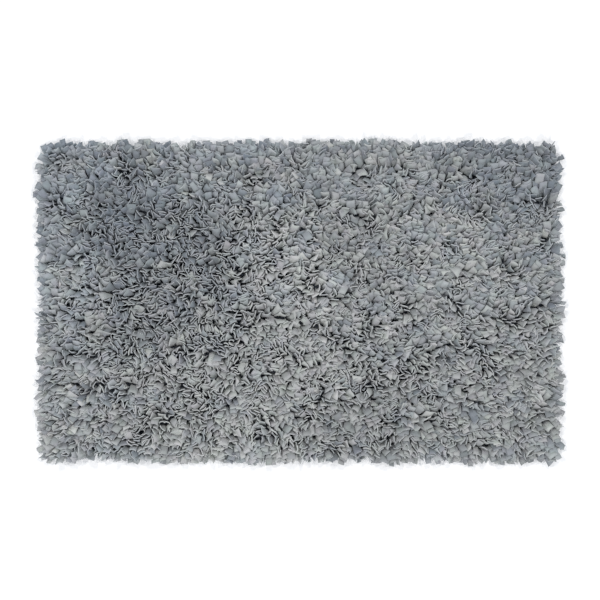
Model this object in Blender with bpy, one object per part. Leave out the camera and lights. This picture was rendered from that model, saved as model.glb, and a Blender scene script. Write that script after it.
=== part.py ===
"""Shag rug: flat cloth strips stand close together on a ground cloth, and flop over its edges to the floor.

Metres, +Z up. The origin is on the floor under the rug's middle, and X runs along its length.
The pile is one lumpy slab. Its rim carries two tiers of locks, each lock a flat strip with four
sides: the lower tier lies down on the floor, and the upper tier hangs over it.
"""

import math
import random

import bmesh
import bpy
from mathutils import Quaternion, Vector, noise

# Driving sizes
RUG_LENGTH = 1.556  # between the furthest strip tips, along X
RUG_WIDTH = 0.954  # between the furthest strip tips, along Y
PILE_HEIGHT = 0.050  # highest lump above the floor
CLOTH_THICKNESS = 0.0022
STRIP_WIDTH = 0.022
STRIP_THICKNESS = 0.0030
TOUCH_GAP = 0.0003  # between the ground cloth and the pile on it

# The slab, worked out from the rug's size
LOCK_REACH = 0.030  # from the slab's side to the furthest tip
SLAB_LENGTH = RUG_LENGTH - 2 * LOCK_REACH
SLAB_WIDTH = RUG_WIDTH - 2 * LOCK_REACH
SLAB_BOTTOM = CLOTH_THICKNESS + TOUCH_GAP
LOCK_PITCH = 0.030  # one strip and the gap beside it
CORNER_RADIUS = 0.045
CLOTH_INSET = 0.004  # the ground cloth's edge, inside the slab's side
CLOTH_CORNER_STEPS = 5

# The pile's top: tufts on broader lumps on a swell, falling to a shoulder along the rim
SHOULDER_HEIGHT = 0.031
SHOULDER_WIDTH = 0.050
RELIEF = 0.021  # from the highest tuft to the deepest dip
TUFT_SHARE = 0.50  # of the relief, one height for each point of the grid
LUMP_SHARE = 0.32
LUMP_SIZE = 0.085
SWELL_SHARE = 0.18
SWELL_SIZE = 0.300
JITTER = 0.30  # of LOCK_PITCH, that a tuft strays in plan
RIM_RAGGED = 0.003  # how far the shoulder's edge rises and falls
BAND_HEIGHT = 0.0165  # where the side's upper band meets its lower one
BAND_BULGE = 0.003  # the side's middle stands this far out from its top edge

# Each tier of locks: a section for each step out from the slab's side.
# out is a share of the lock's reach, top is the height of its upper face above the floor,
# thick is in metres, wide is a share of STRIP_WIDTH.
LOWER_SECTIONS = (
    {"out": 0.32, "top": 0.0110, "thick": 0.0050, "wide": 1.00},
    {"out": 0.68, "top": 0.0032, "thick": 0.0032, "wide": 1.04},
    {"out": 1.00, "top": STRIP_THICKNESS, "thick": STRIP_THICKNESS, "wide": 0.96},
)
UPPER_SECTIONS = (
    {"out": 0.35, "top": 0.0265, "thick": 0.0050, "wide": 1.00},
    {"out": 0.72, "top": 0.0225, "thick": 0.0036, "wide": 1.00},
    {"out": 1.00, "top": 0.0165, "thick": STRIP_THICKNESS, "wide": 0.92},
)
# shortest and longest are shares of LOCK_REACH, and sag is how far a tip may hang above or below its tier
LOWER_TIER = {"shortest": 0.56, "longest": 0.93, "sag": 0.0}
UPPER_TIER = {"shortest": 0.45, "longest": 0.76, "sag": 0.0022}
LOCK_INSET = 0.003  # leaves neighbouring locks apart at their roots
LOCK_SPLAY = math.radians(16)  # the most that a lock turns from straight out
SEED = 11

STRIP_COLOUR = (0.306, 0.328, 0.335, 1.0)
CLOTH_COLOUR = (0.075, 0.085, 0.105, 1.0)


def clear_scene():
    for old in list(bpy.data.objects):
        bpy.data.objects.remove(old)


def fabric(name, colour, roughness):
    material = bpy.data.materials.new(name)
    material.use_nodes = True
    shader = material.node_tree.nodes["Principled BSDF"]
    shader.inputs["Base Color"].default_value = colour
    shader.inputs["Roughness"].default_value = roughness
    shader.inputs["Metallic"].default_value = 0.0
    material.diffuse_color = colour
    return material


def add_object(name, data, material, collection):
    data.materials.append(material)
    made = bpy.data.objects.new(name, data)
    collection.objects.link(made)
    return made


def rounded_outline(length, width, radius, steps):
    """The corners' arcs of a rectangle centred on the origin, in order."""
    points = []
    for quarter in range(4):
        side_x = 1 if quarter in (0, 3) else -1
        side_y = 1 if quarter in (0, 1) else -1
        centre = Vector((side_x * (length / 2 - radius), side_y * (width / 2 - radius)))
        for step in range(steps + 1):
            angle = math.pi / 2 * (quarter + step / steps)
            points.append(centre + radius * Vector((math.cos(angle), math.sin(angle))))
    return points


def make_ground_cloth(collection):
    """A flat outline curve, extruded by half of the cloth's thickness each way."""
    curve = bpy.data.curves.new("ground_cloth", "CURVE")
    curve.dimensions = "2D"
    curve.fill_mode = "BOTH"
    curve.extrude = CLOTH_THICKNESS / 2
    outline = rounded_outline(
        SLAB_LENGTH - 2 * CLOTH_INSET,
        SLAB_WIDTH - 2 * CLOTH_INSET,
        CORNER_RADIUS - CLOTH_INSET,
        CLOTH_CORNER_STEPS,
    )
    spline = curve.splines.new("POLY")
    spline.points.add(len(outline) - 1)
    for point, place in zip(spline.points, outline):
        point.co = (place.x, place.y, 0.0, 1.0)
    spline.use_cyclic_u = True
    made = add_object("ground_cloth", curve, fabric("ground_cloth", CLOTH_COLOUR, 0.95), collection)
    made.location.z = CLOTH_THICKNESS / 2


def round_corner(place):
    """Draws a point of the slab's plan in to the arc of its corner."""
    corner = Vector((SLAB_LENGTH / 2 - CORNER_RADIUS, SLAB_WIDTH / 2 - CORNER_RADIUS))
    past = Vector((abs(place.x), abs(place.y))) - corner
    if min(past) <= 0 or past.length <= CORNER_RADIUS:
        return
    reached = corner + past.normalized() * CORNER_RADIUS
    place.x = math.copysign(reached.x, place.x)
    place.y = math.copysign(reached.y, place.y)


def edge_distance(place):
    """How far a point in plan lies inside the slab's side."""
    return min(SLAB_LENGTH / 2 - abs(place.x), SLAB_WIDTH / 2 - abs(place.y))


def relief_at(place, chance):
    """How far the pile rises at a point, from about -1 to 1."""
    flat = Vector((place.x, place.y, 0.0))
    return (
        TUFT_SHARE * chance.uniform(-1, 1)
        + LUMP_SHARE * noise.noise(flat / LUMP_SIZE)
        + SWELL_SHARE * noise.noise(flat / SWELL_SIZE)
    )


def raise_lumps(mesh, chance):
    """Gives the grid its jittered plan, rounded corners, relief and shoulder."""
    inner = [v for v in mesh.verts if not v.is_boundary]
    for vert in mesh.verts:
        round_corner(vert.co)
    for vert in inner:
        stray = chance.uniform(0, JITTER * LOCK_PITCH)
        turn = chance.uniform(0, 2 * math.pi)
        vert.co += stray * Vector((math.cos(turn), math.sin(turn), 0.0))
    raw = {vert: relief_at(vert.co, chance) for vert in inner}
    low, high = min(raw.values()), max(raw.values())
    for vert, value in raw.items():
        dip = RELIEF * (high - value) / (high - low)
        fall = max(0.0, 1 - edge_distance(vert.co) / SHOULDER_WIDTH)
        drop = (PILE_HEIGHT - SHOULDER_HEIGHT) * fall * fall
        vert.co.z = PILE_HEIGHT - dip - drop
    for vert in mesh.verts:
        if vert.is_boundary:
            vert.co.z = SHOULDER_HEIGHT + chance.uniform(-RIM_RAGGED, RIM_RAGGED)


def drop_band(mesh, edges, height, bulge):
    """Extrudes an open rim straight down to a height. Returns the band's faces and its lower rim."""
    grown = bmesh.ops.extrude_edge_only(mesh, edges=edges)["geom"]
    for vert in (item for item in grown if isinstance(item, bmesh.types.BMVert)):
        away = Vector((vert.co.x / SLAB_LENGTH, vert.co.y / SLAB_WIDTH, 0.0))
        if abs(away.x) > abs(away.y):
            away.y = 0.0
        else:
            away.x = 0.0
        vert.co += away.normalized() * bulge
        vert.co.z = height
    faces = [item for item in grown if isinstance(item, bmesh.types.BMFace)]
    rim = [item for item in grown if isinstance(item, bmesh.types.BMEdge) and item.is_boundary]
    return faces, rim


def lay_section(face, middle, side, section):
    """Moves an extruded face's four corners to a strip's section: flat, and as wide as the strip."""
    wide = STRIP_WIDTH * section["wide"] / 2
    centre = face.calc_center_median()
    for vert in face.verts:
        across = wide if (vert.co - centre).dot(side) > 0 else -wide
        above = 0.0 if vert.co.z > centre.z else -section["thick"]
        vert.co = middle + across * side + Vector((0.0, 0.0, section["top"] + above))


def grow_lock(mesh, root, sections, reach, splay, sag):
    """Extrudes one lock from a face of the slab's side, a section at a time."""
    start = flat_middle(root)
    heading = Vector((root.normal.x, root.normal.y, 0.0)).normalized()
    heading.rotate(Quaternion((0.0, 0.0, 1.0), splay))
    side = Vector((-heading.y, heading.x, 0.0))
    face = root
    for section in sections:
        face = bmesh.ops.extrude_discrete_faces(mesh, faces=[face])["faces"][0]
        hung = dict(section, top=section["top"] + sag * section["out"])
        lay_section(face, start + heading * reach * section["out"], side, hung)


def flat_middle(face):
    """A face's middle, dropped to the floor."""
    middle = face.calc_center_median()
    middle.z = 0.0
    return middle


def furthest_roots(faces):
    """The face nearest the middle of each side, with the reach that takes its tip to the rug's size."""
    found = {}
    for axis, half in ((0, RUG_LENGTH / 2), (1, RUG_WIDTH / 2)):
        for sign in (1, -1):
            facing = [f for f in faces if f.normal[axis] * sign > 0.9]
            root = min(facing, key=lambda f: abs(flat_middle(f)[1 - axis]))
            found[root] = half - abs(flat_middle(root)[axis])
    return found


def bearing(face):
    """Where a face of the band stands, round the slab."""
    middle = flat_middle(face)
    return math.atan2(middle.y / SLAB_WIDTH, middle.x / SLAB_LENGTH)


def grow_tier(mesh, roots, sections, tier, furthest, chance):
    """Grows one tier of locks, each at its own reach and angle, but for the ones that reach furthest."""
    bmesh.ops.inset_individual(mesh, faces=roots, thickness=LOCK_INSET)
    for root in roots:
        reach = LOCK_REACH * chance.uniform(tier["shortest"], tier["longest"])
        splay = chance.uniform(-LOCK_SPLAY, LOCK_SPLAY)
        sag = chance.uniform(-tier["sag"], tier["sag"])
        if root in furthest:
            reach, splay = furthest[root], 0.0
        grow_lock(mesh, root, sections, reach, splay, sag)


def make_pile(collection):
    chance = random.Random(SEED)
    noise.seed_set(SEED)
    mesh = bmesh.new()
    bmesh.ops.create_grid(
        mesh,
        x_segments=round(SLAB_LENGTH / LOCK_PITCH),
        y_segments=round(SLAB_WIDTH / LOCK_PITCH),
        size=0.5,
    )
    bmesh.ops.scale(mesh, vec=(SLAB_LENGTH, SLAB_WIDTH, 1.0), verts=mesh.verts)
    raise_lumps(mesh, chance)
    rim = [edge for edge in mesh.edges if edge.is_boundary]
    upper, rim = drop_band(mesh, rim, BAND_HEIGHT, BAND_BULGE)
    lower, rim = drop_band(mesh, rim, SLAB_BOTTOM, -BAND_BULGE)
    bmesh.ops.contextual_create(mesh, geom=rim)
    bmesh.ops.recalc_face_normals(mesh, faces=mesh.faces)

    furthest = furthest_roots(lower)
    lower.sort(key=bearing)
    upper.sort(key=bearing)
    grow_tier(mesh, lower, LOWER_SECTIONS, LOWER_TIER, furthest, chance)
    grow_tier(mesh, upper[::2], UPPER_SECTIONS, UPPER_TIER, {}, chance)

    bmesh.ops.triangulate(mesh, faces=[f for f in mesh.faces if len(f.verts) > 4])
    data = bpy.data.meshes.new("pile")
    mesh.to_mesh(data)
    mesh.free()
    add_object("pile", data, fabric("strip_cloth", STRIP_COLOUR, 0.92), collection)


def main():
    clear_scene()
    collection = bpy.data.collections.new("shag_rug")
    bpy.context.scene.collection.children.link(collection)
    make_ground_cloth(collection)
    make_pile(collection)


main()
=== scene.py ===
"""Shag rug: flat strips of cotton knit, sewn in rows to a canvas ground cloth.

Each strip end is a small sheet of cloth of its own. The sheets start upright on their rows of stitching,
are bent the way the pile is brushed, and then settle against each other under their own weight.
"""

import math
from types import SimpleNamespace

import bmesh
import bpy
import numpy as np
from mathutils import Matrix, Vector


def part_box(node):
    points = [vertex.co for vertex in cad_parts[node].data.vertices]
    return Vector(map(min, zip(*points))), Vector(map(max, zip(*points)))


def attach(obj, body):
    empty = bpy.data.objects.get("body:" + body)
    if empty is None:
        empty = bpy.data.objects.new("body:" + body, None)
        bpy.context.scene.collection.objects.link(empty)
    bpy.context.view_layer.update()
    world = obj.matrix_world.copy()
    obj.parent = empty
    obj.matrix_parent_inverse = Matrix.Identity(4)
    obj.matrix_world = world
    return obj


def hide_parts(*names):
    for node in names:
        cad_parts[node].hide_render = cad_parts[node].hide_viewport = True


bl_info = {
    "name": "Shag Rug",
    "version": (1, 0, 0),
    "blender": (4, 5, 0),
    "location": "3D View > Sidebar > Rug",
    "description": "Makes a shag rug of cut cloth strips round its CAD frame, with its studio",
    "category": "Object",
}

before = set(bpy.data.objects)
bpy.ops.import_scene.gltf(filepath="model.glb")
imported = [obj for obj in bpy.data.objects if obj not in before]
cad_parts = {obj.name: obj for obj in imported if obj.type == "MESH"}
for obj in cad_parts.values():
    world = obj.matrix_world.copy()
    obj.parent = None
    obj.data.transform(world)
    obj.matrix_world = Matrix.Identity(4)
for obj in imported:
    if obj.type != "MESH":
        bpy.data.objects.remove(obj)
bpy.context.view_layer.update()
CLOTH_LOW, CLOTH_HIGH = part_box("ground_cloth")

RAILS, STEPS = 5, 6  # knots across a strip, and along it, that the settling moves
SHOWN_RAILS, SHOWN_ROWS = 4, 6  # points across a finished strip, and along it
STRIP_POINTS = SHOWN_RAILS * SHOWN_ROWS
PILE_PIECES = 6  # the rows of the pile are shared out among this many pieces
PILE_NAMES = [f"pile_rows_{i + 1}" for i in range(PILE_PIECES)]
STITCH_NAME = "row_stitches"

FOLD_HALF = 0.0045  # a strip is folded at its seam, and its two ends leave it this far to each side
ROOT_HEIGHT = 0.0034  # where the strips leave their seams, just over the canvas
CLOTH_SKIN = 0.0006  # height of the canvas's underside, which the stitches stand proud of
LIFT_ON_CLOTH, LIFT_ON_FLOOR = 0.0036, 0.0014  # lowest middle of a strip, over the canvas and past it
CEILING = 0.0545  # highest middle of a strip

SEWN_OFF = (0.0020, 0.0010)  # how far strips are sewn off their places, along x and y
WIDTH_SPREAD, WIDTH_LIMITS = 0.0032, (0.012, 0.028)
LENGTH_SPREAD, LENGTH_LIMITS = 0.0075, (0.025, 0.055)
BRUSHED_EVENER = 0.0030  # how much less the lengths of brushed strips spread
LONG_SHARE, LONG_EXTRA, LONG_LEAN = 0.045, (0.006, 0.014), 0.55  # the few strips that were cut long
DENT, CORNER_CURL = 0.0007, 0.0020  # how far knots start off a strip's smooth shape, and its corners
SHOWN_STITCH = 0.86  # the share of a stitch that shows

# How the pile is brushed in each part of the rug: where that is (x, y), which way it leans (x, y), how far
# that reaches, how light its strips are and how blue. That lightness and blueness is partly painted light and
# shade: lighter where brushed strips lie flat and show their faces, darker and bluer where the pile is in
# shade.
LAY = (
    (-0.66, 0.38, -0.30, 0.38, 0.16, -0.50, 0.85),
    (-0.30, 0.38, -0.10, 0.50, 0.15, -0.30, 0.65),
    (0.10, 0.38, 0.05, 0.60, 0.18, -0.40, 0.50),
    (0.60, 0.36, -0.30, 0.50, 0.18, -1.10, 0.75),
    (-0.68, 0.05, -0.36, 0.12, 0.12, 0.15, 0.65),
    (-0.66, -0.33, -0.40, -0.25, 0.14, 0.05, 0.40),
    (-0.50, 0.24, -0.10, 0.10, 0.14, -2.10, 0.95),
    (-0.30, 0.16, 0.00, 0.00, 0.16, -1.25, 0.60),
    (-0.10, 0.14, 0.05, 0.05, 0.12, 0.55, 0.35),
    (-0.44, -0.06, 0.00, 0.00, 0.12, -0.95, 0.45),
    (-0.35, -0.26, 0.00, -0.05, 0.18, 0.15, 0.20),
    (-0.02, -0.14, 0.25, -0.10, 0.14, 0.40, 0.10),
    (0.03, 0.06, 0.40, 0.15, 0.10, 0.75, 0.25),
    (0.15, 0.16, 0.30, 0.25, 0.14, -0.40, 0.20),
    (0.45, 0.14, 0.38, 0.50, 0.18, 0.20, 0.30),
    (0.62, -0.32, 0.28, -0.30, 0.18, -0.12, 0.20),
    (0.20, -0.38, 0.12, -0.20, 0.12, -0.50, 0.15),
    (-0.20, -0.40, 0.05, -0.25, 0.11, 0.60, 0.20),
)
SPOT_CORE, SPOT_FADE = 0.02, 1.5  # how soon a place of LAY gives way to the next one
LEAN_SCALE = 0.55  # what all leans of LAY are taken times
FULL_LEAN = 0.40  # strips that lean this much or more lie as they are brushed
EDGE_BAND = 0.045  # strips nearer than this to the edge of the seams flop outwards
EDGE_FLOP = (0.27, 0.16)  # how much they lean over the short edges and over the long ones
RIM_FLOP = (0.06, 0.22)  # least and most that the strips in the rim's seam lean further out

PILE_TOP = 0.040  # where the camera's view is as wide as its setting says
CAMERA_ASIDE = 0.007  # how far the camera stands off the rug's middle, towards +Y
LIGHT_DISTANCE = 3
FLOOR_HALF = 12.0
SEEN_SURROUND = 1.1  # how bright the surround is where the camera looks past the floor
VIEW_GAMMA = 1.165  # opens up the shadows between the strips


class RugSizes(bpy.types.PropertyGroup):
    """The sizes that the rug is cut and sewn to."""

    sewn_length: bpy.props.FloatProperty(
        name="Sewn length", description="Length of the field of seams", default=1.471, unit="LENGTH")
    sewn_width: bpy.props.FloatProperty(
        name="Sewn width", description="From the first seam to the last", default=0.868, unit="LENGTH")
    row_pitch: bpy.props.FloatProperty(
        name="Row pitch", description="From one seam to the next", default=0.0178, unit="LENGTH")
    place_pitch: bpy.props.FloatProperty(
        name="Strip pitch", description="From one strip to the next in a row", default=0.0185,
        unit="LENGTH")
    strip_length: bpy.props.FloatProperty(
        name="Strip length", description="Usual length of a strip end", default=0.0450, unit="LENGTH")
    strip_width: bpy.props.FloatProperty(
        name="Strip width", description="Usual width of a strip", default=0.0205, unit="LENGTH")
    strip_thickness: bpy.props.FloatProperty(
        name="Strip thickness", description="Thickness of the cotton knit", default=0.0018, unit="LENGTH")
    crumple: bpy.props.FloatProperty(
        name="Crumple", description="Depth of the dents in a strip", default=0.0007, unit="LENGTH")
    rim_pitch: bpy.props.FloatProperty(
        name="Rim pitch", description="From one strip to the next in the rim's seam", default=0.0125,
        unit="LENGTH")
    stitch_pitch: bpy.props.FloatProperty(
        name="Stitch pitch", description="From one stitch to the next on the underside", default=0.0060,
        unit="LENGTH")
    seed: bpy.props.IntProperty(
        name="Seed", description="Picks one of the many ways the strips can be cut and fall", default=7)


class RugColours(bpy.types.PropertyGroup):
    """The colours of the rug's cloths and thread."""

    pale: bpy.props.FloatVectorProperty(
        name="Pale grey", description="Lightest strips", default=(0.46, 0.485, 0.485), subtype="COLOR")
    plain: bpy.props.FloatVectorProperty(
        name="Plain grey", description="Usual strips", default=(0.306, 0.328, 0.335), subtype="COLOR")
    deep: bpy.props.FloatVectorProperty(
        name="Deep grey", description="Darkest strips", default=(0.155, 0.172, 0.185), subtype="COLOR")
    # A very dark grey, partly painted shade: the canvas seen between the strips reads as deep shade.
    canvas: bpy.props.FloatVectorProperty(
        name="Canvas", description="The ground cloth", default=(0.075, 0.085, 0.105), subtype="COLOR")
    thread: bpy.props.FloatVectorProperty(
        name="Thread", description="The stitching", default=(0.46, 0.46, 0.44), subtype="COLOR")


class RugStudio(bpy.types.PropertyGroup):
    """The floor, the lights and the camera."""

    floor: bpy.props.FloatVectorProperty(
        name="Floor", description="Colour of the floor", default=(0.97, 0.97, 0.97), subtype="COLOR")
    light_count: bpy.props.IntProperty(
        name="Lights", description="How many lights stand round the rug", default=6)
    light_power: bpy.props.FloatProperty(
        name="Light power", description="What the lights give the floor together", default=2.80)
    light_colour: bpy.props.FloatVectorProperty(
        name="Light colour", description="Colour of the lights", default=(1.02, 1.0, 0.98), subtype="COLOR")
    light_rise: bpy.props.FloatProperty(
        name="Light rise", description="How high the lights stand, seen from the rug",
        default=math.radians(57), subtype="ANGLE")
    light_spread: bpy.props.FloatProperty(
        name="Light spread", description="How wide each light is, seen from the rug", default=0.12,
        subtype="ANGLE")
    fill_colour: bpy.props.FloatVectorProperty(
        name="Fill colour", description="Colour of the light from all round", default=(0.81, 0.955, 1.17),
        subtype="COLOR")
    fill: bpy.props.FloatProperty(
        name="Fill", description="Strength of the light from all round", default=0.25, min=0)
    camera_height: bpy.props.FloatProperty(
        name="Camera height", description="Straight above the rug", default=3.0, unit="LENGTH")
    view_width: bpy.props.FloatProperty(
        name="View width", description="What the picture takes in, at the pile's top", default=1.738,
        unit="LENGTH")


# ------------------------------ node trees


class Recipe:
    """Adds the nodes of one tree, each fed with plain values or with other nodes' outputs."""

    def __init__(self, tree):
        self.tree = tree

    def node(self, kind, feeds=None, **options):
        made = self.tree.nodes.new(kind)
        count = len(self.tree.nodes)
        made.location = (200 * (count // 5), -220 * (count % 5))
        for name, value in options.items():
            setattr(made, name, value)
        for key, value in (feeds or {}).items():
            self.feed(made.inputs[key], value)
        return made

    def out(self, kind, feeds=None, **options):
        return self.node(kind, feeds, **options).outputs[0]

    def feed(self, socket, value):
        if isinstance(value, bpy.types.NodeSocket):
            self.tree.links.new(value, socket)
        else:
            socket.default_value = value

    def math(self, operation, *values):
        return self.out("ShaderNodeMath", dict(enumerate(values)), operation=operation)

    def scaled(self, vector, amount):
        return self.out("ShaderNodeVectorMath", {0: vector, "Scale": amount}, operation="SCALE")

    def parts(self, vector):
        return self.node("ShaderNodeSeparateXYZ", {0: vector}).outputs

    def joined(self, x, y, z=0.0):
        return self.out("ShaderNodeCombineXYZ", {0: x, 1: y, 2: z})

    def span(self, value, low, high, to_low=0.0, to_high=1.0):
        return self.out("ShaderNodeMapRange", {0: value, 1: low, 2: high, 3: to_low, 4: to_high})

    def noise(self, vector, scale, detail=2.0):
        return self.out("ShaderNodeTexNoise", {"Vector": vector, "Scale": scale, "Detail": detail})


def new_tree(name, kind, takes, gives):
    """An empty node group with its named sockets, and its recipe, input and output nodes."""
    tree = bpy.data.node_groups.new(name, kind)
    for in_out, sockets in (("INPUT", takes), ("OUTPUT", gives)):
        for label, socket_kind, value in sockets:
            socket = tree.interface.new_socket(
                name=label, in_out=in_out, socket_type="NodeSocket" + socket_kind)
            if value is not None:
                socket.default_value = value
    recipe = Recipe(tree)
    start = recipe.node("NodeGroupInput").outputs
    end = recipe.node("NodeGroupOutput")
    return tree, recipe, start, end


def run_tree(obj, tree, values, name):
    """obj's mesh after the tree has run on it, as a new plain object in obj's stead."""
    modifier = obj.modifiers.new("making", "NODES")
    modifier.node_group = tree
    for item in tree.interface.items_tree:
        if item.in_out == "INPUT" and item.name in values:
            modifier[item.identifier] = values[item.name]
    graph = bpy.context.evaluated_depsgraph_get()
    mesh = bpy.data.meshes.new_from_object(obj.evaluated_get(graph))
    obj.modifiers.remove(modifier)
    bpy.data.objects.remove(obj)
    mesh.name = name
    return show(name, mesh)


def finished_mesh(name, shape, material):
    mesh = bpy.data.meshes.new(name)
    shape.to_mesh(mesh)
    shape.free()
    mesh.materials.append(material)
    return mesh


def show(name, data):
    made = bpy.data.objects.new(name, data)
    bpy.context.scene.collection.objects.link(made)
    return made


# ------------------------------ how the strips are cut and start


def wavy(chance, x, y, size, waves=24):
    """Smooth random numbers over the rug, with a spread of one, whose swells are about that size."""
    total = np.zeros(len(x))
    for _ in range(waves):
        turn, start = chance.uniform(0, 2 * math.pi, 2)
        pace = 2 * math.pi / (size * chance.uniform(1.4, 3.0))  # a wave is a swell and a dip long
        total += np.cos(pace * (x * math.cos(turn) + y * math.sin(turn)) + start)
    return total / math.sqrt(waves / 2)


def unit(vectors):
    return vectors / (np.linalg.norm(vectors, axis=-1, keepdims=True) + 1e-12)


def brushed(x, y):
    """Lean (x, y), and lightness and blueness (partly painted light and shade) at each place, blended from
    LAY.
    """
    total, weights = np.zeros((len(x), 4)), np.zeros(len(x))
    for at_x, at_y, lean_x, lean_y, reach, light, blueness_with_painted_shade in LAY:
        far = ((x - at_x) ** 2 + (y - at_y) ** 2) / reach**2
        weight = 1.0 / (SPOT_CORE + far) ** SPOT_FADE
        # The lightness and blueness summed here are partly painted light and shade.
        total += weight[:, None] * np.array((lean_x, lean_y, light, blueness_with_painted_shade))
        weights += weight
    return total / weights[:, None]


def sewn_places(sizes, chance):
    """Where each strip end leaves its seam: x, y, the side it falls to, its heading and which way is out.

    The rows run along the rug, with a fold in each place. One more seam follows the rim, its strips
    all bent outwards. On the short sides every other one of them is sewn across the seam.
    """
    rows = round(sizes.sewn_width / sizes.row_pitch) + 1
    places = round(sizes.sewn_length / sizes.place_pitch)
    grid = np.meshgrid(np.arange(rows), (-1.0, 1.0), np.arange(places), indexing="ij")
    row, side, place = (numbers.ravel() for numbers in grid)
    stagger = np.where(row % 2, 0.25, -0.25)  # every other row is half a place along
    x = sizes.sewn_length * ((place + 0.5 + stagger) / places - 0.5)
    y = sizes.sewn_width * (row / (rows - 1) - 0.5) + side * FOLD_HALF
    none = np.zeros(len(x))
    found = [np.stack([x, y, side, none, none, none], 1)]
    edges = ((sizes.sewn_length, sizes.sewn_width, False), (sizes.sewn_width, sizes.sewn_length, True))
    for run, reach, short in edges:
        count = round(run / sizes.rim_pitch)
        along, none = run * ((np.arange(count) + 0.5) / count - 0.5), np.zeros(count)
        crossed = 0.5 * math.pi * (np.arange(count) % 2)
        for sign in (-1.0, 1.0):
            rim, out = np.full(count, sign * reach / 2), np.full(count, sign)
            if short:
                found.append(np.stack([rim, along, out, crossed, out, none], 1))
            else:
                found.append(np.stack([along, rim, out, none, none, out], 1))
    found = np.concatenate(found)
    found = found[np.argsort(np.round(found[:, 1] / sizes.row_pitch), kind="stable")]
    found[:, :2] += chance.normal(0, SEWN_OFF, (len(found), 2))
    half = np.array((sizes.sewn_length, sizes.sewn_width)) / 2
    found[:, :2] = np.clip(found[:, :2], -half, half)
    return *found[:, :4].T, found[:, 4:]


def cut_strips(sizes, chance):
    """The strip ends in the order they are sewn: where each leaves its seam, its cut and its lean."""
    x, y, side, heading, outwards = sewn_places(sizes, chance)
    rim = np.abs(outwards).sum(1)
    count = len(x)
    width = np.clip(chance.normal(sizes.strip_width, WIDTH_SPREAD, count), *WIDTH_LIMITS)

    # The pile leans as it is brushed, and the more it leans the less even it is.
    brush = brushed(x, y)
    lean = LEAN_SCALE * brush[:, :2]
    swell = 0.07 + 0.40 * np.minimum(np.linalg.norm(lean, axis=1), 0.5)
    lean = lean + swell[:, None] * np.stack([wavy(chance, x, y, 0.06) for _ in "xy"], 1)

    # Its edge also flops outwards: past is +-1 at the edge, and 0 from EDGE_BAND inwards.
    past = [
        np.clip(1.2 - 1.2 * (full / 2 - np.abs(at)) / EDGE_BAND, 0, 1) * np.sign(at)
        for full, at in ((sizes.sewn_length, x), (sizes.sewn_width, y))
    ]
    edge = np.maximum(np.abs(past[0]), np.abs(past[1]))
    lean = lean * (1 - 0.4 * edge)[:, None] + np.stack([flop * out for flop, out in zip(EDGE_FLOP, past)], 1)
    brushed_flat = np.clip(np.linalg.norm(lean, axis=1) / FULL_LEAN, 0, 1)
    spread = LENGTH_SPREAD - BRUSHED_EVENER * brushed_flat * (1 - edge)
    length = np.clip(sizes.strip_length + spread * chance.normal(0, 1, count), *LENGTH_LIMITS)
    length = length * (1 - 0.12 * rim)
    lean += chance.uniform(*RIM_FLOP, (count, 1)) * outwards

    # A few strips were cut long. They lie on top of the others and show their whole face.
    long = (chance.random(count) < LONG_SHARE) * (edge < 0.3)
    length = length + long * chance.uniform(*LONG_EXTRA, count)
    lean += long[:, None] * chance.normal(0, LONG_LEAN, (count, 2))

    # Strips differ in lightness and blueness one by one and in clumps; from place to place they differ too,
    # after LAY, and that part is partly painted light and shade on the lie of the pile.
    own = 0.70 * chance.normal(0, 1, count) + 0.38 * wavy(chance, x, y, 0.04) + 0.8 * long
    # Painted light and shade: brush[:, 2] lightens or darkens, and brush[:, 3] blues, whole parts of the
    # pile.
    tone = own + 1.5 * brush[:, 2]
    cool = brush[:, 3] - 0.16 * own + 0.05 * chance.normal(0, 1, count)
    cool += 0.18 * wavy(chance, x, y, 0.05)
    return SimpleNamespace(
        count=count, x=x, y=y, side=side, heading=heading, length=length, width=width, lean=lean,
        edge=edge, rim=rim, tone=tone, cool=cool)


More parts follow.
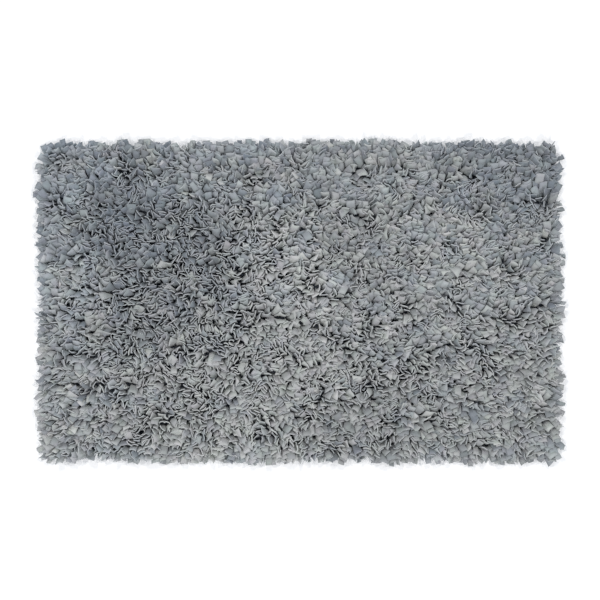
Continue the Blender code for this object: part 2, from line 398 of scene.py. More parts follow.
def first_shapes(strips, chance):
    """The strips before they settle: knots[strip, rail, step], upright, leaning, twisted and curled."""
    count, lean, width = strips.count, strips.lean, strips.width
    amount = np.linalg.norm(lean, axis=1)

    # A strip twists as the strips round it do, and turns its face to the way it is brushed.
    clump_turn, own_turn, brushed_turn = (math.radians(degrees) for degrees in (60, 26, 28))
    turn = clump_turn * wavy(chance, strips.x, strips.y, 0.045) + chance.normal(0, own_turn, count)
    facing = np.arctan2(lean[:, 1], lean[:, 0]) - math.pi / 2 - strips.heading
    facing = (facing + math.pi / 2) % math.pi - math.pi / 2
    facing *= np.abs(np.cos(facing))  # a strip that leans along its seam stays in line with it
    mix = np.clip(amount * 1.7, 0, 0.62)
    turn = (1 - mix) * turn + mix * (facing + chance.normal(0, brushed_turn, count))
    loose = np.clip(amount / FULL_LEAN, 0.12, 1)  # brushed strips fall unevenly, upright ones hold each other

    # Across, a strip is cupped and rippled, and gathered at its seam. A few are rolled up.
    cup_turn, ripple_turn, roll_turn, seam_turn = (math.radians(degrees) for degrees in (18, 8, 125, 62))
    cup = chance.normal(0, cup_turn, count) * (1 - 0.4 * mix)
    ripple = chance.normal(0, ripple_turn, count)
    rolled = chance.random(count) < 0.05
    cup = np.where(rolled, np.sign(cup) * roll_turn, cup)
    bend = chance.normal(0, 0.24, count) * loose
    fold = chance.normal(0, 0.28, count) * loose
    skew = np.clip(chance.normal(0, 0.42, count), -1.0, 1.0) * (1 - 0.6 * strips.edge)
    wobble = chance.normal(0, 0.22, (count, 2)) * (loose * (1 - 0.5 * strips.edge))[:, None]
    dents = chance.normal(0, DENT, (count, RAILS, STEPS))
    corners = np.abs(chance.normal(0, CORNER_CURL, (count, 2))) * chance.choice([-1.0, 1.0], (count, 2))

    across = np.linspace(-1, 1, RAILS)
    middles = (across[1:] + across[:-1]) / 2
    knots = np.zeros((count, RAILS, STEPS, 3))
    centre = np.stack([strips.x, strips.y, np.full(count, ROOT_HEIGHT)], 1)
    for step in range(STEPS):
        f = step / (STEPS - 1)  # 0 at the seam, 1 at the strip's end
        angle = strips.heading + turn * f
        face = np.stack([-np.sin(angle), np.cos(angle)], 1)
        over = np.sign((face * lean).sum(1)) * np.minimum(amount / FULL_LEAN, 1)
        tilt = (lean * 0.70 + wobble) * min(1.0, 0.35 + f)
        tilt += face * (bend * f * f + 0.8 * over * f**3 + fold * (f > 0.7))[:, None]
        tilt[:, 1] += strips.side * np.cos(strips.heading) * 0.08 * (1 - f) ** 2
        along = unit(np.concatenate([tilt, np.ones((count, 1))], 1))
        if step:
            centre = centre + along * (strips.length / (STEPS - 1))[:, None]
        wide = np.stack([np.cos(angle), np.sin(angle), np.zeros(count)], 1)
        wide = unit(wide - along * (wide * along).sum(1)[:, None])
        out = np.cross(wide, along)
        gather = seam_turn * strips.side * (1 - f) ** 1.5
        slope = (cup * f + gather)[:, None] * middles + (ripple * f)[:, None] * (middles**2 - 0.3) * 1.6
        piece = (width / (RAILS - 1))[:, None]
        u, v = (
            np.concatenate([np.zeros((count, 1)), np.cumsum(part * piece, 1)], 1)
            for part in (np.cos(slope), np.sin(slope)))
        u -= u.mean(1, keepdims=True)
        v -= v.mean(1, keepdims=True)
        if step > 1:
            v += dents[:, :, step]
        if step == STEPS - 1:
            v[:, 0] += corners[:, 0]
            v[:, -1] += corners[:, 1]
        knots[:, :, step] = centre[:, None] + wide[:, None] * u[..., None] + out[:, None] * v[..., None]
        if step == STEPS - 1:
            knots[:, :, step] += along[:, None] * (skew[:, None] * across * width[:, None] * 0.3)[..., None]
    knots[..., 2] = np.maximum(knots[..., 2], ROOT_HEIGHT)
    return knots


# ------------------------------ how the strips settle


def close_pairs(points, owner, reach):
    """Pairs of points of unlike strips that are nearer than reach, found through a grid of cells."""
    cell = ((points - points.min(0) + reach) / reach).astype(np.int64)
    size = cell.max(0) + 3
    key = (cell[:, 2] * size[1] + cell[:, 1]) * size[0] + cell[:, 0]
    order = np.argsort(key, kind="stable")
    key, points, owner = key[order], points[order], owner[order]
    count = len(key)
    firsts, seconds = [], []
    for up, back in ((0, 0), (0, 1), (1, -1), (1, 0), (1, 1)):
        shift = (up * size[1] + back) * size[0]
        if shift:
            start = np.searchsorted(key, key + shift - 1, "left")
        else:
            start = np.arange(1, count + 1)
        many = np.maximum(np.searchsorted(key, key + shift + 1, "right") - start, 0)
        a = np.repeat(np.arange(count), many)
        b = np.arange(many.sum()) - np.repeat(np.cumsum(many) - many, many) + np.repeat(start, many)
        other = owner[a] != owner[b]
        a, b = a[other], b[other]
        near = ((points[a] - points[b]) ** 2).sum(1) < reach * reach
        firsts.append(order[a[near]])
        seconds.append(order[b[near]])
    return np.concatenate(firsts), np.concatenate(seconds)


def links_of(knots):
    """What holds a strip's cloth together: index pairs of knots, their distance and how hard they pull."""
    stretch, shear, bend_across, bend_along, arch_along = 0.9, 0.5, 0.4, 0.35, 0.2
    rails, steps, every = range(RAILS), range(STEPS), slice(None)
    sides = [(slice(odd, RAILS - 1, 2), slice(odd + 1, RAILS, 2)) for odd in (0, 1)]
    links = []
    for odd in (0, 1):
        lower, upper = slice(odd, STEPS - 1, 2), slice(odd + 1, STEPS, 2)
        links.append(((every, lower), (every, upper), stretch))
    for left, right in sides:
        links.append(((left, every), (right, every), stretch))
    for rail in rails[:-2]:
        links.append(((rail, every), (rail + 2, every), bend_across))
    for step in steps[:-1]:
        for left, right in sides:
            links.append(((left, step), (right, step + 1), shear))
            links.append(((right, step), (left, step + 1), shear))
    for step in steps[:-2]:
        links.append(((every, step), (every, step + 2), bend_along))
    for step in steps[:-3]:
        links.append(((every, step), (every, step + 3), arch_along))
    made = []
    for (rail_a, step_a), (rail_b, step_b), pull in links:
        a, b = (every, rail_a, step_a), (every, rail_b, step_b)
        rest = np.linalg.norm(knots[b] - knots[a], axis=-1)
        made.append((a, b, rest, pull))
    return made


def settle(strips, knots, rounds=70):
    """Lets the strips fall, be brushed and push each other apart, without stretching, from their roots."""
    weight, brush, drag, fastest = 0.00003, 0.00004, 0.85, 0.002  # metres a round, but for drag
    brushed_rounds = rounds * 0.6
    search_every, search_spare = 5, 0.002  # rounds between searches for strips that may touch
    passes, crowding = 2, 0.6
    radii = np.array([0.0, 0.0016, 0.0021, 0.0026, 0.0026, 0.0026])  # the room round a knot of each step
    links = links_of(knots)
    before, roots = knots.copy(), knots[:, :, 0].copy()
    owner = np.repeat(np.arange(strips.count), RAILS * STEPS)
    step_of = np.tile(np.arange(STEPS), strips.count * RAILS)
    radius = radii[step_of]
    free = np.nonzero(step_of > 0)[0]
    push = np.zeros((strips.count, 1, STEPS, 3))
    push[:, 0, :, :2] = strips.lean[:, None] * (np.arange(STEPS) / (STEPS - 1))[:, None] * brush
    fall = (weight * (1 + 0.4 * strips.edge + 1.2 * strips.rim))[:, None, None]
    total = strips.count * RAILS * STEPS
    for number in range(rounds):
        speed = (knots - before) * drag
        speed *= np.minimum(1.0, fastest / (np.linalg.norm(speed, axis=-1, keepdims=True) + 1e-9))
        before = knots.copy()
        knots = knots + speed
        knots[..., 2] -= fall
        if number < brushed_rounds:
            knots += push
        if number % search_every == 0:
            a, b = close_pairs(knots.reshape(-1, 3)[free], owner[free], 2 * radii[-1] + search_spare)
            pairs = free[a], free[b]
        for _ in range(passes):
            points = knots.reshape(-1, 3)
            a, b = pairs
            gap = points[a] - points[b]
            far = np.sqrt((gap * gap).sum(1)) + 1e-9
            want = radius[a] + radius[b]
            hit = far < want
            a, b, gap, far, want = a[hit], b[hit], gap[hit], far[hit], want[hit]
            gap *= (0.5 * (want - far) / far)[:, None]
            touches = np.bincount(a, minlength=total) + np.bincount(b, minlength=total)
            shared = np.maximum(1.0, crowding * touches)
            for axis in range(3):
                moved = np.bincount(a, gap[:, axis], total) - np.bincount(b, gap[:, axis], total)
                points[:, axis] += moved / shared
            for first, second, rest, pull in links:
                gap = knots[second] - knots[first]
                far = np.sqrt((gap * gap).sum(-1)) + 1e-9
                gap *= (0.5 * pull * (far - rest) / far)[..., None]
                knots[first] += gap
                knots[second] -= gap
            knots[:, :, 0] = roots
            inside = (np.abs(knots[..., 0]) < CLOTH_HIGH.x) & (np.abs(knots[..., 1]) < CLOTH_HIGH.y)
            lowest = np.where(inside, LIFT_ON_CLOTH, LIFT_ON_FLOOR)
            knots[..., 2] = np.clip(knots[..., 2], lowest, CEILING)
    return knots


def drawn_out(knots):
    """SHOWN_ROWS points along each strip, on smooth lines through its knots, and SHOWN_RAILS across it."""
    before, past = 2 * knots[:, :, :1] - knots[:, :, 1:2], 2 * knots[:, :, -1:] - knots[:, :, -2:-1]
    longer = np.concatenate([before, knots, past], 2)
    rows = []
    for f in np.linspace(0, STEPS - 1, SHOWN_ROWS):
        k = min(int(f), STEPS - 2)
        t = f - k
        a, b, c, d = (longer[:, :, k + i] for i in range(4))
        rows.append(b + 0.5 * t * (c - a + t * (2 * a - 5 * b + 4 * c - d + t * (3 * (b - c) + d - a))))
    drawn = np.stack(rows, 2)
    rails = []
    for f in np.linspace(0, RAILS - 1, SHOWN_RAILS):
        k = min(int(f), RAILS - 2)
        rails.append(drawn[:, k] + (f - k) * (drawn[:, k + 1] - drawn[:, k]))
    return np.stack(rails, 1)


# ------------------------------ strips made cloth


def strip_tree():
    """Geometry Nodes that turn guide points into closed strips of cloth, with their maps."""
    tree, g, start, end = new_tree(
        "sewn strips", "GeometryNodeTree",
        [("Guides", "Geometry", None), ("Strip Width", "Float", 0.0205), ("Strip Length", "Float", 0.045),
         ("Strip Thickness", "Float", 0.0018), ("Crumple", "Float", 0.0007), ("Crumple Size", "Float", 0.008),
         ("Lowest", "Float", 0.0002), ("Bake Cells Across", "Int", 38), ("Seed", "Int", 7),
         ("Cloth", "Material", None)],
        [("Strips", "Geometry", None)])
    guides = start["Guides"]
    index = g.out("GeometryNodeInputIndex")

    def named(name, data_type="FLOAT"):
        return g.out("GeometryNodeInputNamedAttribute", {"Name": name}, data_type=data_type)

    def store(geometry, name, value, data_type="FLOAT", domain="POINT", where=True):
        feeds = {"Geometry": geometry, "Name": name, "Value": value, "Selection": where}
        return g.out("GeometryNodeStoreNamedAttribute", feeds, data_type=data_type, domain=domain)

    def guided(value, data_type):
        feeds = {"Geometry": guides, "Value": value, "Index": guide}
        return g.out("GeometryNodeSampleIndex", feeds, data_type=data_type)

    # One flat strip is set on a point for each strip end, and its corners go to their guide points.
    size = g.out("GeometryNodeAttributeDomainSize", {0: guides}, component="MESH")
    places = g.out("GeometryNodePoints", {"Count": g.math("DIVIDE", size, STRIP_POINTS)})
    places = store(places, "strip", index, "INT")
    sheet = g.out("GeometryNodeMeshGrid", {
        "Size X": start["Strip Width"], "Size Y": start["Strip Length"],
        "Vertices X": SHOWN_RAILS, "Vertices Y": SHOWN_ROWS})
    sheet = store(sheet, "knot", index, "INT")
    strips = g.out("GeometryNodeInstanceOnPoints", {"Points": places, "Instance": sheet})
    strips = g.out("GeometryNodeRealizeInstances", {0: strips})
    strip, knot = named("strip", "INT"), named("knot", "INT")
    guide = g.math("MULTIPLY_ADD", strip, STRIP_POINTS, knot)
    spot = g.out("GeometryNodeInputPosition")
    guided_spot = guided(spot, "FLOAT_VECTOR")
    strips = g.out("GeometryNodeSetPosition", {0: strips, "Position": guided_spot})
    for name in ("tone", "cool"):
        strips = store(strips, name, guided(named(name), "FLOAT"))

    # Dents, then the cloth's thickness: the back, its front pushed off it, and the cut edge between.
    shifted = g.out("ShaderNodeVectorMath", {0: spot, 1: g.joined(start["Seed"], 0.0)}, operation="ADD")
    dent = g.math("SUBTRACT", g.noise(shifted, g.math("DIVIDE", 1.0, start["Crumple Size"])), 0.5)
    dent = g.math("MULTIPLY", dent, g.math("MULTIPLY", start["Crumple"], 4.0))
    inward = g.math("MULTIPLY_ADD", start["Strip Thickness"], -0.5, dent)
    normal = g.out("GeometryNodeInputNormal")
    back = g.out("GeometryNodeSetPosition", {0: strips, "Offset": g.scaled(normal, inward)})
    front = g.node("GeometryNodeExtrudeMesh", {
        "Mesh": back, "Offset Scale": start["Strip Thickness"], "Individual": False}, mode="FACES")
    shell = store(front.outputs["Mesh"], "lifted", 1.0, where=front.outputs["Top"])
    shell = store(shell, "cut_edge", 1.0, domain="FACE", where=front.outputs["Side"])
    under = g.out("GeometryNodeFlipFaces", {0: back})
    under = store(under, "under", 1.0, domain="FACE")
    joined = g.node("GeometryNodeJoinGeometry")
    g.feed(joined.inputs[0], under)
    g.feed(joined.inputs[0], shell)
    cloth = g.out("GeometryNodeMergeByDistance", {0: joined.outputs[0], "Distance": 1e-6})
    x, y, z = g.parts(spot)
    above = g.joined(x, y, g.math("MAXIMUM", z, start["Lowest"]))
    cloth = g.out("GeometryNodeSetPosition", {0: cloth, "Position": above})

    # A map in metres for the knit, which starts elsewhere on each strip, and one for baking: a cell for
    # each strip, its front with the cut edge laid out round it on the left, its back on the right.
    knit_shift, cut_edge_room = 0.0131, 0.035
    rail = g.math("FLOOR", g.math("DIVIDE", g.math("ADD", knot, 0.5), SHOWN_ROWS))
    across = g.math("DIVIDE", rail, SHOWN_RAILS - 1)
    along = g.math("DIVIDE", g.math("SUBTRACT", knot, g.math("MULTIPLY", rail, SHOWN_ROWS)), SHOWN_ROWS - 1)
    metres = g.joined(
        g.math("MULTIPLY_ADD", across, start["Strip Width"], g.math("MULTIPLY", strip, knit_shift)),
        g.math("MULTIPLY", along, start["Strip Length"]))
    cloth = store(cloth, "StripUV", metres, "FLOAT2", "CORNER")
    low_side = g.math("SUBTRACT", 1.0, named("lifted"))
    is_under = named("under")

    def in_cell(share, front_low, front_high, back_low, back_high):
        outwards = g.math("SUBTRACT", g.math("GREATER_THAN", share, 0.99), g.math("LESS_THAN", share, 0.01))
        front_place = g.math("ADD", g.span(share, 0.0, 1.0, front_low, front_high),
                             g.math("MULTIPLY", g.math("MULTIPLY", outwards, low_side), cut_edge_room))
        back_place = g.span(share, 0.0, 1.0, back_low, back_high)
        return g.math("MULTIPLY_ADD", is_under, g.math("SUBTRACT", back_place, front_place), front_place)

    cells = start["Bake Cells Across"]
    row = g.math("FLOOR", g.math("DIVIDE", g.math("ADD", strip, 0.5), cells))
    column = g.math("SUBTRACT", strip, g.math("MULTIPLY", row, cells))
    baked = g.joined(
        g.math("DIVIDE", g.math("ADD", column, in_cell(across, 0.06, 0.46, 0.54, 0.98)), cells),
        g.math("DIVIDE", g.math("ADD", row, in_cell(along, 0.06, 0.94, 0.02, 0.98)), cells))
    cloth = store(cloth, "OFBake", baked, "FLOAT2", "CORNER")

    cloth = g.out("GeometryNodeSetShadeSmooth", {
        0: cloth, "Selection": g.math("LESS_THAN", named("cut_edge"), 0.5), "Shade Smooth": True})
    for name in ("strip", "knot", "lifted", "under"):
        cloth = g.out("GeometryNodeRemoveAttribute", {0: cloth, "Name": name})
    cloth = g.out("GeometryNodeRealizeInstances", {0: cloth})
    cloth = g.out("GeometryNodeSetMaterial", {0: cloth, "Material": start["Cloth"]})
    g.feed(end.inputs[0], cloth)
    return tree


def guide_object(points, **facts):
    """An object of loose guide points, each with the numbers of its strip."""
    mesh = bpy.data.meshes.new("guides")
    mesh.vertices.add(points.size // 3)
    mesh.vertices.foreach_set("co", points.astype(np.float32).ravel())
    for name, values in facts.items():
        values = np.repeat(values, STRIP_POINTS).astype(np.float32)
        mesh.attributes.new(name, "FLOAT", "POINT").data.foreach_set("value", values)
    return show("guides", mesh)


# ------------------------------ finishes


def mottle_group():
    """Cloth that isn't quite even: soft patches, and the fuzz of its fibres."""
    tree, g, start, end = new_tree(
        "cloth mottle", "ShaderNodeTree",
        [("Place", "Vector", None), ("Patch Size", "Float", 0.02), ("Patch Depth", "Float", 0.1),
         ("Fuzz Size", "Float", 0.0008)],
        [("Lightness", "Float", None), ("Fuzz", "Float", None)])
    patches = g.noise(start["Place"], g.math("DIVIDE", 1.0, start["Patch Size"]), 3.0)
    spread = g.math("MULTIPLY", g.math("SUBTRACT", patches, 0.5), start["Patch Depth"])
    g.feed(end.inputs["Lightness"], g.math("MULTIPLY_ADD", spread, 2.0, 1.0))
    g.feed(end.inputs["Fuzz"], g.noise(start["Place"], g.math("DIVIDE", 1.0, start["Fuzz Size"]), 2.0))
    return tree


def knit_group():
    """Plain knit: columns of slanted stitches, as relief."""
    tree, g, start, end = new_tree(
        "plain knit", "ShaderNodeTree",
        [("Place", "Vector", None), ("Column Width", "Float", 0.0013), ("Course Height", "Float", 0.0010)],
        [("Relief", "Float", None)])
    x, y, _ = g.parts(start["Place"])
    column = g.math("DIVIDE", x, start["Column Width"])
    middle = g.math("ABSOLUTE", g.math("SUBTRACT", g.math("FRACT", column), 0.5))
    slant = g.math("MULTIPLY_ADD", middle, 1.2, g.math("DIVIDE", y, start["Course Height"]))
    loops = g.math("SINE", g.math("MULTIPLY", slant, 2 * math.pi))
    ribs = g.math("COSINE", g.math("MULTIPLY", column, 2 * math.pi))
    g.feed(end.inputs["Relief"], g.math("MULTIPLY_ADD", loops, 0.35, ribs))
    return tree


def weave_group():
    """Plain weave: threads that pass over and under each other, as relief and as shade in the gaps."""
    tree, g, start, end = new_tree(
        "plain weave", "ShaderNodeTree",
        [("Place", "Vector", None), ("Thread Pitch", "Float", 0.0016)],
        [("Relief", "Float", None), ("Shade", "Float", None)])
    waves = []
    for place in g.parts(start["Place"])[:2]:
        turns = g.math("MULTIPLY", g.math("DIVIDE", place, start["Thread Pitch"]), math.pi)
        waves.append(g.math("SINE", turns))
    over = g.math("MULTIPLY", *waves)
    gaps = g.math("MULTIPLY", *(g.math("ABSOLUTE", wave) for wave in waves))
    g.feed(end.inputs["Relief"], g.math("ADD", g.math("ABSOLUTE", over), g.math("MULTIPLY", over, 0.5)))
    g.feed(end.inputs["Shade"], g.span(gaps, 0.0, 0.35, 0.55, 1.0))
    return tree


def new_material(name, roughness, sheen=0.0, specular=0.2):
    """A matt finish: its recipe and its shader, which the even values are set on."""
    material = bpy.data.materials.new(name)
    material.use_nodes = True
    m = Recipe(material.node_tree)
    shader = material.node_tree.nodes["Principled BSDF"]
    values = {"Roughness": roughness, "Specular IOR Level": specular, "Sheen Weight": sheen,
              "Sheen Roughness": 0.6}
    for label, value in values.items():
        shader.inputs[label].default_value = value
    return material, m, shader


def mixed(m, amount, first, second, blend="MIX"):
    feeds = {0: amount, 6: first, 7: second}
    return m.node("ShaderNodeMix", feeds, data_type="RGBA", blend_type=blend).outputs[2]


def grouped(m, tree, **feeds):
    feeds = {name.replace("_", " "): value for name, value in feeds.items()}
    return m.node("ShaderNodeGroup", feeds, node_tree=tree).outputs


def even_grey(m, value):
    return m.joined(value, value, value)


def attribute(m, name):
    return m.node("ShaderNodeAttribute", attribute_name=name).outputs["Fac"]


def object_place(m):
    return m.node("ShaderNodeTexCoord").outputs["Object"]


def bumped(m, shader, height, strength, distance):
    bump = m.out("ShaderNodeBump", {"Height": height, "Strength": strength, "Distance": distance})
    m.feed(shader.inputs["Normal"], bump)


def strip_cloth(colours, mottle):
    """Cotton knit: each strip its own grey, more or less blue; cut edges paler as raw fibre and painted
    highlight.
    """
    material, m, shader = new_material("cotton knit strips", 0.95, 0.15)
    soft = grouped(m, mottle, Place=object_place(m), Patch_Size=0.012, Patch_Depth=0.22, Fuzz_Size=0.0009)
    warm_tint, blue_tint, edge_highlight_colour = (1.035, 1.0, 0.965, 1), (0.90, 0.98, 1.10, 1), (0.80, 0.82, 0.83, 1)
    # The tone and cool attributes carry each strip's own dye and, from place to place, painted light and
    # shade.
    tone = m.span(attribute(m, "tone"), -2.2, 2.2)
    ramp = m.node("ShaderNodeValToRGB", {0: tone})
    ramp.color_ramp.elements.new(0.5)
    for element, colour in zip(ramp.color_ramp.elements, (colours.deep, colours.plain, colours.pale)):
        element.color = (*colour, 1)
    tint = mixed(m, m.span(attribute(m, "cool"), 0.15, 1.35), warm_tint, blue_tint)
    colour = mixed(m, 1.0, ramp.outputs[0], tint, "MULTIPLY")
    green = grouped(m, mottle, Place=object_place(m), Patch_Size=0.03, Patch_Depth=0.13)["Lightness"]
    lightness = m.joined(soft["Lightness"], m.math("MULTIPLY", soft["Lightness"], green), soft["Lightness"])
    colour = mixed(m, 1.0, colour, lightness, "MULTIPLY")
    # Painted highlight, partly raw fibre: the cut edges are mixed towards a pale grey.
    edge = m.math("MULTIPLY", attribute(m, "cut_edge"), 0.27)
    colour = mixed(m, edge, colour, edge_highlight_colour)
    m.feed(shader.inputs["Base Color"], colour)
    m.feed(shader.inputs["Roughness"], m.span(soft["Fuzz"], 0.3, 0.7, 0.88, 1.0))
    place = m.out("ShaderNodeUVMap", uv_map="StripUV")
    knit = grouped(m, knit_group(), Place=place)
    bumped(m, shader, m.math("MULTIPLY_ADD", soft["Fuzz"], 1.2, knit["Relief"]), 0.55, 0.00012)
    return material


def canvas_cloth(colours, mottle):
    """Plain-woven canvas with a thin stiffening coat; its very dark grey is partly painted shade."""
    material, m, shader = new_material("ground canvas", 0.9, 0.1)
    place = object_place(m)
    weave = grouped(m, weave_group(), Place=place)
    soft = grouped(m, mottle, Place=place, Patch_Size=0.05, Patch_Depth=0.15)
    shade = even_grey(m, m.math("MULTIPLY", weave["Shade"], soft["Lightness"]))
    m.feed(shader.inputs["Base Color"], mixed(m, 1.0, (*colours.canvas, 1), shade, "MULTIPLY"))
    m.feed(shader.inputs["Roughness"], m.span(soft["Fuzz"], 0.3, 0.7, 0.8, 0.95))
    bumped(m, shader, m.math("MULTIPLY_ADD", soft["Fuzz"], 0.2, weave["Relief"]), 0.7, 0.0003)
    return material


def seam_thread(colours, mottle):
    """Spun thread with its twist."""
    material, m, shader = new_material("seam thread", 0.8, 0.1)
    place = object_place(m)
    soft = grouped(m, mottle, Place=place, Patch_Size=0.004, Patch_Depth=0.3, Fuzz_Size=0.0004)
    x, y, _ = m.parts(place)
    twist_pitch = 0.0008
    twist = m.math("SINE", m.math("MULTIPLY", m.math("ADD", x, y), 2 * math.pi / twist_pitch))
    lightness = even_grey(m, soft["Lightness"])
    m.feed(shader.inputs["Base Color"], mixed(m, 1.0, (*colours.thread, 1), lightness, "MULTIPLY"))
    m.feed(shader.inputs["Roughness"], m.span(soft["Fuzz"], 0.3, 0.7, 0.7, 0.9))
    bumped(m, shader, twist, 0.5, 0.0001)
    return material


def shared_mottle():
    return bpy.data.node_groups.get("cloth mottle") or mottle_group()


# ------------------------------ pieces


def keep(piece, slot, *nodes):
    """Fixes a finished piece to the rug's body and hides the solids it stands for. slot is not used."""
    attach(piece, "root")
    if nodes:
        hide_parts(*nodes)


class RUG_OT_ground_cloth(bpy.types.Operator):
    """Makes the canvas that the strips are sewn through"""

    bl_idname = "rug.ground_cloth"
    bl_label = "Ground Cloth"

    def execute(self, context):
        size = CLOTH_HIGH - CLOTH_LOW
        cell = 0.020
        shape = bmesh.new()
        bmesh.ops.create_grid(
            shape, x_segments=round(size.x / cell), y_segments=round(size.y / cell), size=0.5)
        for v in shape.verts:
            v.co = (v.co.x * size.x, v.co.y * size.y, CLOTH_SKIN)
        faces = list(shape.faces)
        bmesh.ops.reverse_faces(shape, faces=faces)
        made = bmesh.ops.extrude_face_region(shape, geom=faces, use_keep_orig=True)
        for v in made["geom"]:
            if isinstance(v, bmesh.types.BMVert):
                v.co.z = CLOTH_HIGH.z
        bmesh.ops.recalc_face_normals(shape, faces=shape.faces)
        canvas = canvas_cloth(context.scene.rug_colours, shared_mottle())
        mesh = finished_mesh("ground_cloth", shape, canvas)
        keep(show("ground_cloth_canvas", mesh), "ground_cloth", "ground_cloth")
        return {"FINISHED"}


class RUG_OT_pile(bpy.types.Operator):
    """Cuts the strips, lets them settle and makes them cloth, some rows to a piece"""

    bl_idname = "rug.pile"
    bl_label = "Pile of Strips"

    def execute(self, context):
        sizes = context.scene.rug_sizes
        chance = np.random.default_rng(sizes.seed)
        strips = cut_strips(sizes, chance)
        knots = settle(strips, first_shapes(strips, chance))
        points = drawn_out(knots)
        tree, cloth = strip_tree(), strip_cloth(context.scene.rug_colours, shared_mottle())
        share = math.ceil(strips.count / PILE_PIECES)
        for number, name in enumerate(PILE_NAMES):
            part = slice(number * share, (number + 1) * share)
            guides = guide_object(points[part], tone=strips.tone[part], cool=strips.cool[part])
            piece = run_tree(guides, tree, {
                "Strip Width": sizes.strip_width,
                "Strip Length": sizes.strip_length,
                "Strip Thickness": sizes.strip_thickness,
                "Crumple": sizes.crumple,
                "Bake Cells Across": math.ceil(math.sqrt(share)),
                "Seed": sizes.seed,
                "Cloth": cloth,
            }, name)
            keep(piece, "strip_cloth", "pile")
        return {"FINISHED"}


class RUG_OT_stitches(bpy.types.Operator):
    """Sews the rows of stitches that show on the underside"""

    bl_idname = "rug.stitches"
    bl_label = "Row Stitches"

    def execute(self, context):
        sizes = context.scene.rug_sizes
        tree, g, start, end = new_tree(
            "seam stitches", "GeometryNodeTree",
            [("Cloth", "Geometry", None), ("Sewn Length", "Float", 1.465), ("Sewn Width", "Float", 0.868),
             ("Rows", "Int", 50), ("Stitches", "Int", 245), ("Stitch Length", "Float", 0.0052),
             ("Thread Width", "Float", 0.0011), ("Height", "Float", CLOTH_SKIN), ("Seed", "Int", 3),
             ("Thread", "Material", None)],
            [("Stitches", "Geometry", None)])
        field = g.out("GeometryNodeMeshGrid", {
            "Size X": start["Sewn Length"], "Size Y": start["Sewn Width"],
            "Vertices X": start["Stitches"], "Vertices Y": start["Rows"]})
        field = g.out("GeometryNodeMeshToPoints", {0: field})
        grain = g.out("GeometryNodeMeshUVSphere", {"Segments": 3, "Rings": 3, "Radius": 0.5})
        turned = g.out("GeometryNodeTransform", {0: grain, "Rotation": (0, math.pi / 2, 0)})
        sized = g.out("GeometryNodeTransform", {
            0: turned, "Translation": g.joined(0.0, 0.0, start["Height"]),
            "Scale": g.joined(start["Stitch Length"], start["Thread Width"], start["Thread Width"])})
        askew = 0.06
        feeds = {"Min": (0, 0, -askew), "Max": (0, 0, askew), "Seed": start["Seed"]}
        swing = g.out("FunctionNodeRandomValue", feeds, data_type="FLOAT_VECTOR")
        sewn = g.out("GeometryNodeInstanceOnPoints", {"Points": field, "Instance": sized, "Rotation": swing})
        sewn = g.out("GeometryNodeRealizeInstances", {0: sewn})
        sewn = g.out("GeometryNodeSetShadeSmooth", {0: sewn, "Shade Smooth": True})
        sewn = g.out("GeometryNodeSetMaterial", {0: sewn, "Material": start["Thread"]})
        g.feed(end.inputs[0], sewn)
        piece = run_tree(show("field", bpy.data.meshes.new("field")), tree, {
            "Sewn Length": sizes.sewn_length - sizes.stitch_pitch,
            "Sewn Width": sizes.sewn_width,
            "Rows": round(sizes.sewn_width / sizes.row_pitch) + 1,
            "Stitches": round(sizes.sewn_length / sizes.stitch_pitch),
            "Stitch Length": sizes.stitch_pitch * SHOWN_STITCH,
            "Thread": seam_thread(context.scene.rug_colours, shared_mottle()),
        }, STITCH_NAME)
        keep(piece, "ground_cloth")
        return {"FINISHED"}


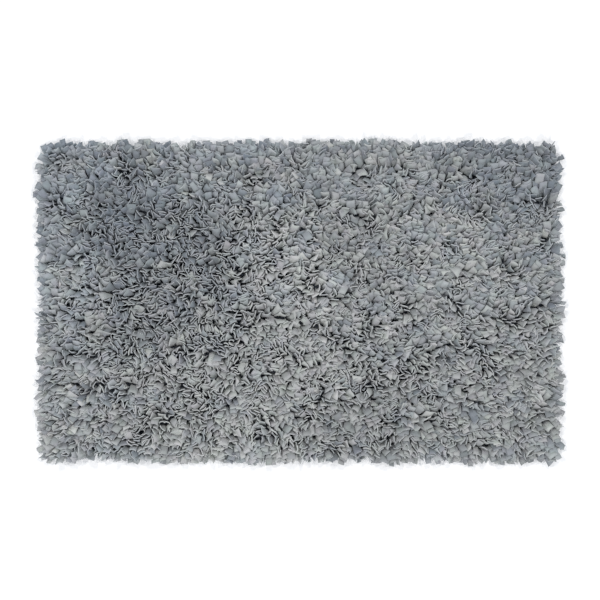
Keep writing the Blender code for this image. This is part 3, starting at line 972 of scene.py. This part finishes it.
class RUG_OT_studio(bpy.types.Operator):
    """Sets the rug in its studio: a pale floor, a ring of soft lights and the camera straight above"""

    bl_idname = "rug.studio"
    bl_label = "Studio"

    def execute(self, context):
        studio, scene = context.scene.rug_studio, context.scene
        shape = bmesh.new()
        bmesh.ops.create_grid(shape, x_segments=1, y_segments=1, size=FLOOR_HALF)
        material, m, shader = new_material("pale floor", 0.9, specular=0.1)
        clouds = even_grey(m, m.span(m.noise(object_place(m), 3.0), 0.0, 1.0, 0.985, 1.0))
        m.feed(shader.inputs["Base Color"], mixed(m, 1.0, (*studio.floor, 1), clouds, "MULTIPLY"))
        mesh = finished_mesh("floor", shape, material)
        show("floor", mesh)

        rise = studio.light_rise
        for number in range(studio.light_count):
            turn = 2 * math.pi * (number / studio.light_count + 0.25)
            towards = (math.cos(turn) * math.cos(rise), math.sin(turn) * math.cos(rise), math.sin(rise))
            light = bpy.data.lights.new("soft_light", "SUN")
            light.color, light.angle = studio.light_colour, studio.light_spread
            light.energy = studio.light_power / studio.light_count / math.sin(rise)
            lamp = show(f"soft_light_{number + 1}", light)
            lamp.location = LIGHT_DISTANCE * Vector(towards)
            lamp.rotation_euler = (-lamp.location).to_track_quat("-Z", "Y").to_euler()

        world = bpy.data.worlds.new("surround")
        world.use_nodes = True
        w = Recipe(world.node_tree)
        looked_at = w.node("ShaderNodeLightPath").outputs["Is Camera Ray"]
        fill, seen = (
            w.out("ShaderNodeBackground", {"Color": (*colour, 1), "Strength": strength})
            for colour, strength in ((studio.fill_colour, studio.fill), ((1, 1, 1), SEEN_SURROUND)))
        both = w.out("ShaderNodeMixShader", {0: looked_at, 1: fill, 2: seen})
        w.feed(world.node_tree.nodes["World Output"].inputs["Surface"], both)
        scene.world = world
        scene.view_settings.view_transform = "Standard"
        scene.view_settings.gamma = VIEW_GAMMA

        camera = bpy.data.cameras.new("camera")
        camera.sensor_width = 36.0
        camera.lens = camera.sensor_width * (studio.camera_height - PILE_TOP) / studio.view_width
        scene.camera = show("camera", camera)
        scene.camera.location = (0, CAMERA_ASIDE, studio.camera_height)
        return {"FINISHED"}


class RUG_PT_making(bpy.types.Panel):
    """Lists the steps of making the rug"""

    bl_idname = "RUG_PT_making"
    bl_label = "Shag Rug"
    bl_space_type = "VIEW_3D"
    bl_region_type = "UI"
    bl_category = "Rug"

    def draw(self, context):
        layout = self.layout
        for group in (context.scene.rug_sizes, context.scene.rug_colours, context.scene.rug_studio):
            box = layout.box()
            for name in type(group).__annotations__:
                box.prop(group, name)
        for step in STEPS_OF_MAKING:
            layout.operator(step.bl_idname)


STEPS_OF_MAKING = (RUG_OT_ground_cloth, RUG_OT_pile, RUG_OT_stitches, RUG_OT_studio)
SETTINGS = {"rug_sizes": RugSizes, "rug_colours": RugColours, "rug_studio": RugStudio}


def register():
    for name, group in SETTINGS.items():
        bpy.utils.register_class(group)
        setattr(bpy.types.Scene, name, bpy.props.PointerProperty(type=group))
    for kind in (*STEPS_OF_MAKING, RUG_PT_making):
        bpy.utils.register_class(kind)


def unregister():
    for kind in (RUG_PT_making, *reversed(STEPS_OF_MAKING)):
        bpy.utils.unregister_class(kind)
    for name, group in SETTINGS.items():
        delattr(bpy.types.Scene, name)
        bpy.utils.unregister_class(group)


def main():
    register()
    bpy.ops.rug.ground_cloth()
    bpy.ops.rug.pile()
    bpy.ops.rug.stitches()
    bpy.ops.rug.studio()


if __name__ == "__main__":
    main()
